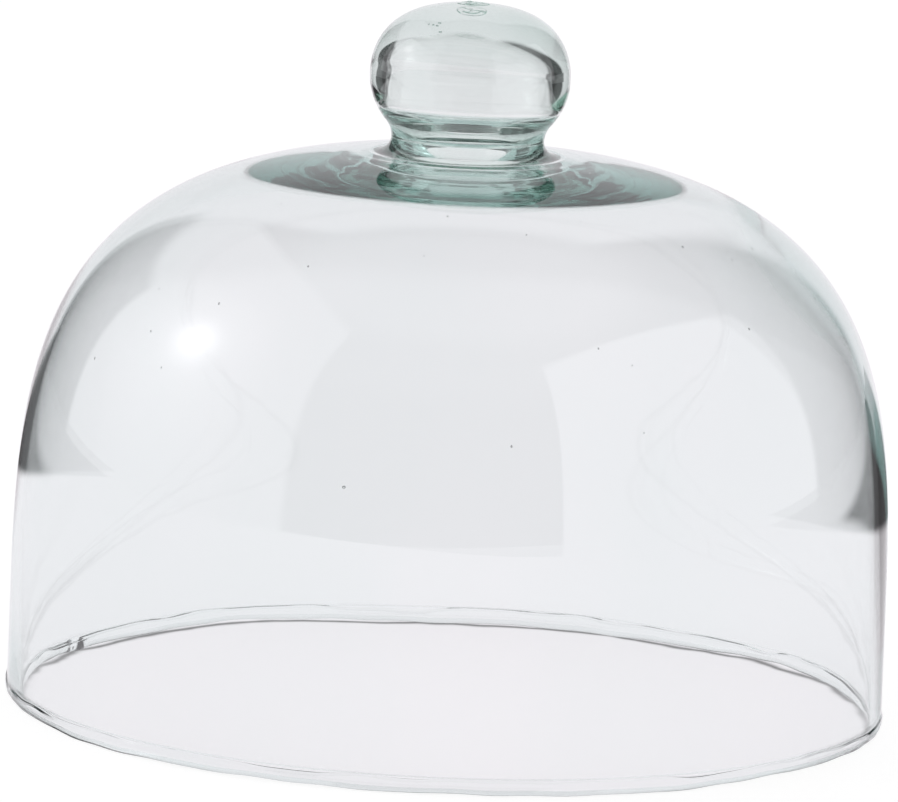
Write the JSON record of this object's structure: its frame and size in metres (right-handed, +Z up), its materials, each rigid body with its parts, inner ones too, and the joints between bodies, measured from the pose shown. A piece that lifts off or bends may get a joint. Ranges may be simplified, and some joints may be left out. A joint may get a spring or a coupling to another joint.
{
  "type": "glass cake dome",
  "caption": "Clear blown glass bell with a heavy crown, a beaded rim to rest on and a hollow round knob to lift it by; covers a cake on a plate.",
  "frame": {"origin": "centre of the rim's foot, on the surface that the dome stands on", "axes": "+Z up along the axis of the bell and the knob, +X and +Y level; the dome is round, so their turn about Z is free"},
  "size_m": [0.26, 0.26, 0.2095],
  "materials": {
    "bell_glass": "clear, fire polished, faint green in the thick crown",
    "rim_glass": "clear, fire polished bead",
    "knob_glass": "clear, fire polished, pale green where thick"
  },
  "bodies": {
    "root": {"bell": "bell_glass", "rim_bead": "rim_glass", "knob_collar": "knob_glass", "knob": "knob_glass", "knob_seal": "knob_glass"}
  },
  "joints": []
}
